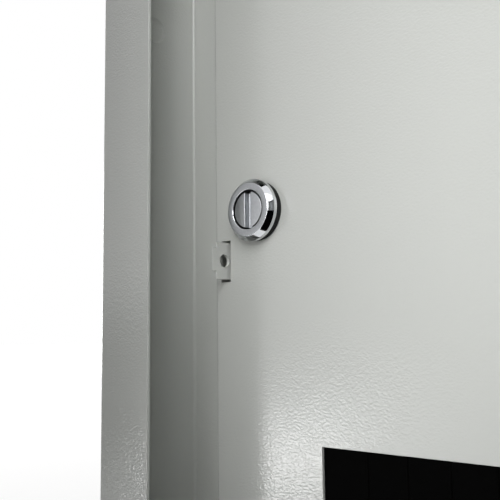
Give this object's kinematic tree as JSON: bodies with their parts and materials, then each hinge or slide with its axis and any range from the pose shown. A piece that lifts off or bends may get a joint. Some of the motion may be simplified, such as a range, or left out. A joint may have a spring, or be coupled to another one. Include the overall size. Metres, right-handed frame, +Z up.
{
  "type": "steel wall enclosure",
  "caption": "Painted steel wall enclosure with a hinged outer door, an inner front door with module windows, quarter-turn locks and a drilled seal lug.",
  "frame": {"origin": "centre of the rear face, which lies on the wall", "axes": "+X to the right as seen from the front, +Y into the wall, +Z up"},
  "size_m": [0.5878, 0.549, 0.5],
  "materials": {
    "paint": "fine orange-peel textured powder coat, light grey",
    "galvanised": "zinc plated sheet steel",
    "zinc_fastener": "bright zinc plated",
    "chrome": "bright chrome plate, satin face",
    "rubber": "matt black rubber",
    "foam": "black closed-cell foam",
    "black_plastic": "matt black",
    "brass": "plain brass",
    "insulator": "grey moulded insulator"
  },
  "bodies": {
    "enclosure_body": {"body_shell": "paint", "rear_panel": "paint", "frame_upright_left": "paint", "frame_upright_right": "paint", "frame_rail_top": "paint", "frame_rail_bottom": "paint", "seal_lug": "paint", "mounting_plate": "galvanised", "plate_studs": "zinc_fastener", "plate_spacers": "zinc_fastener", "plate_nuts": "zinc_fastener", "device_frame_left": "galvanised", "device_frame_right": "galvanised", "device_frame_screws": "zinc_fastener", "din_rail_upper": "galvanised", "din_rail_lower": "galvanised", "rail_screws": "zinc_fastener", "neutral_bar": "brass", "earth_bar": "brass", "bar_supports": "insulator", "bar_screws": "zinc_fastener", "gland_plate": "paint", "gland_gasket": "rubber", "gland_screws": "zinc_fastener", "cable_grommets": "rubber", "earth_stud": "zinc_fastener", "earth_nuts": "zinc_fastener", "outer_hinge_body_leaves": "paint", "outer_hinge_pins": "zinc_fastener", "inner_hinge_brackets": "paint", "inner_hinge_pins": "zinc_fastener"},
    "inner_door": {"inner_door_panel": "paint", "window_blank_upper": "black_plastic", "window_blank_lower": "black_plastic", "window_studs": "zinc_fastener", "window_clips": "zinc_fastener", "inner_hinge_door_leaves": "paint", "inner_lock_gasket": "rubber", "inner_lock_nut": "zinc_fastener", "inner_lock_bezel": "chrome"},
    "inner_lock_core": {"inner_lock_insert": "chrome", "inner_lock_cam": "zinc_fastener", "inner_lock_cam_screw": "zinc_fastener"},
    "outer_door": {"outer_door_shell": "paint", "outer_door_gasket": "foam", "outer_door_stiffener_left": "galvanised", "outer_door_stiffener_right": "galvanised", "outer_hinge_door_leaves": "paint", "outer_lock_gaskets": "rubber", "outer_lock_nuts": "zinc_fastener", "outer_lock_lower_bezel": "chrome", "outer_lock_upper_bezel": "chrome"},
    "outer_lock_lower_core": {"outer_lock_lower_insert": "chrome", "outer_lock_lower_cam": "zinc_fastener", "outer_lock_lower_cam_screw": "zinc_fastener"},
    "outer_lock_upper_core": {"outer_lock_upper_insert": "chrome", "outer_lock_upper_cam": "zinc_fastener", "outer_lock_upper_cam_screw": "zinc_fastener"}
  },
  "joints": [
    {"name": "outer_door_hinge", "type": "hinge", "parent": "enclosure_body", "child": "outer_door", "pos_m": [0.206, -0.181, 0], "axis": [0, 0, 1], "range_deg": [-115, 15]},
    {"name": "inner_door_hinge", "type": "hinge", "parent": "enclosure_body", "child": "inner_door", "pos_m": [0.168, -0.1485, 0], "axis": [0, 0, 1], "range_deg": [0, 90]},
    {"name": "inner_lock_turn", "type": "hinge", "parent": "inner_door", "child": "inner_lock_core", "pos_m": [-0.1335, -0.143, 0], "axis": [0, 1, 0], "range_deg": [0, 90]},
    {"name": "outer_lock_lower_turn", "type": "hinge", "parent": "outer_door", "child": "outer_lock_lower_core", "pos_m": [0.36817, -0.50039, -0.12], "axis": [-0.9063, -0.4226, 0], "range_deg": [0, 90]},
    {"name": "outer_lock_upper_turn", "type": "hinge", "parent": "outer_door", "child": "outer_lock_upper_core", "pos_m": [0.36817, -0.50039, 0.12], "axis": [-0.9063, -0.4226, 0], "range_deg": [0, 90]}
  ]
}
